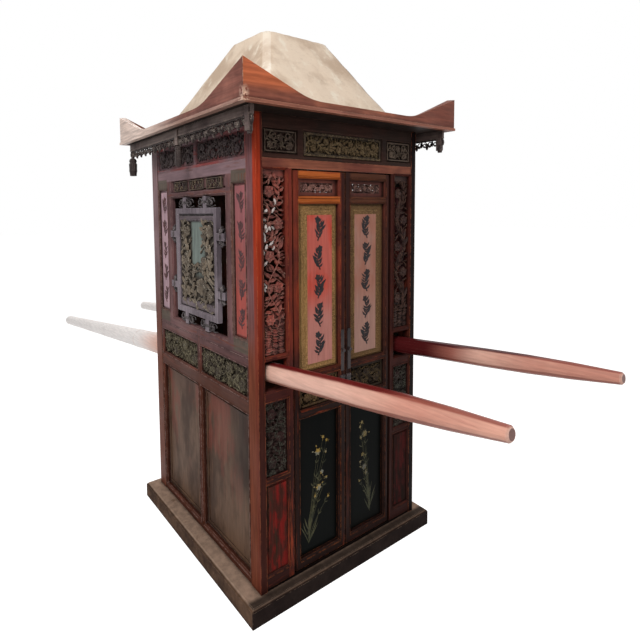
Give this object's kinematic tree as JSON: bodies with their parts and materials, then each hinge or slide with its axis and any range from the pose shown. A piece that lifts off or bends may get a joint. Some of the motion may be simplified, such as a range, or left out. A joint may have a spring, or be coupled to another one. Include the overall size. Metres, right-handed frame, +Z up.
{
  "type": "palanquin",
  "caption": "Closed timber palanquin with carved lacquered walls, pivoted front door leaves, upswept eaves, a canvas roof and long sliding carrying poles.",
  "frame": {"origin": "middle of the plinth's underside", "axes": "+Z up, -Y out of the doors, +X to the right of someone who looks at the doors; the poles run along Y"},
  "size_m": [0.924, 3.433, 1.886],
  "materials": {
    "plinth": "worn bare timber",
    "floor": "plain boards",
    "posts": "worn red-brown lacquer",
    "front_frame": "worn red-brown lacquer",
    "side_frame": "worn dull brown lacquer",
    "back_frame": "worn dull brown lacquer",
    "carving": "carved and pierced, dark lacquer",
    "side_carving": "carved, grey-green worn lacquer",
    "red_panel": "mottled dark red lacquer",
    "strip": "faded red lacquer",
    "side_panel": "worn brown lacquer with sheen",
    "back_panel": "worn brown lacquer",
    "door_frame": "red-brown lacquer with orange edges",
    "black_lacquer": "glossy near-black lacquer with gilt sprays",
    "gilt_board": "gold-flecked border round a red field",
    "iron": "dark worn iron",
    "eaves": "red-brown lacquered boards",
    "deck": "dark bare boards",
    "canvas": "mottled beige canvas",
    "pole": "polished pink-brown wood, red near the cabin",
    "bench": "plain boards"
  },
  "bodies": {
    "cabin": {"plinth": "plinth", "floor_board": "floor", "front_sill": "front_frame", "front_head_beam": "front_frame", "front_frieze_frame": "front_frame", "front_frieze_centre": "carving", "back_frame": "back_frame", "back_panel": "back_panel", "seat_bench": "bench", "roof_deck": "deck", "roof_canvas": "canvas", "eave_front": "eaves", "eave_rear": "eaves", "eave_left": "eaves", "eave_right": "eaves", "post_front_left": "posts", "side_strip_front_left": "strip", "post_front_right": "posts", "side_strip_front_right": "strip", "post_rear_left": "posts", "side_strip_rear_left": "strip", "post_rear_right": "posts", "side_strip_rear_right": "strip", "bay_frame_left": "front_frame", "bay_openwork_left": "carving", "bay_carving_left": "carving", "bay_red_panel_left": "red_panel", "side_lower_frame_left": "side_frame", "side_lower_panel_left": "side_panel", "side_band_left": "side_carving", "side_upper_frame_left": "side_frame", "side_frieze_left": "side_frame", "sash_frame_left": "carving", "sash_carving_left": "side_carving", "valance_left": "carving", "bay_frame_right": "front_frame", "bay_openwork_right": "carving", "bay_carving_right": "carving", "bay_red_panel_right": "red_panel", "side_lower_frame_right": "side_frame", "side_lower_panel_right": "side_panel", "side_band_right": "side_carving", "side_upper_frame_right": "side_frame", "side_frieze_right": "side_frame", "sash_frame_right": "carving", "sash_carving_right": "side_carving", "valance_right": "carving"},
    "door_left": {"door_leaf_left": "door_frame", "door_lower_panel_left": "black_lacquer", "door_tall_panel_left": "gilt_board", "door_carving_left": "carving", "door_pull_left": "iron"},
    "door_right": {"door_leaf_right": "door_frame", "door_lower_panel_right": "black_lacquer", "door_tall_panel_right": "gilt_board", "door_carving_right": "carving", "door_pull_right": "iron"},
    "pole_left": {"pole_left": "pole"},
    "pole_right": {"pole_right": "pole"}
  },
  "joints": [
    {"name": "door_left", "type": "hinge", "parent": "cabin", "child": "door_left", "pos_m": [-0.2115, -0.378, 0.72], "axis": [0, 0, -1], "range_deg": [0, 90]},
    {"name": "door_right", "type": "hinge", "parent": "cabin", "child": "door_right", "pos_m": [0.2115, -0.378, 0.72], "axis": [0, 0, 1], "range_deg": [0, 90]},
    {"name": "pole_left", "type": "slide", "parent": "cabin", "child": "pole_left", "axis": [0, 0.9931, -0.1171], "range_m": [0, 0.65]},
    {"name": "pole_right", "type": "slide", "parent": "cabin", "child": "pole_right", "axis": [0, 0.9953, -0.0972], "range_m": [0, 0.65]}
  ]
}
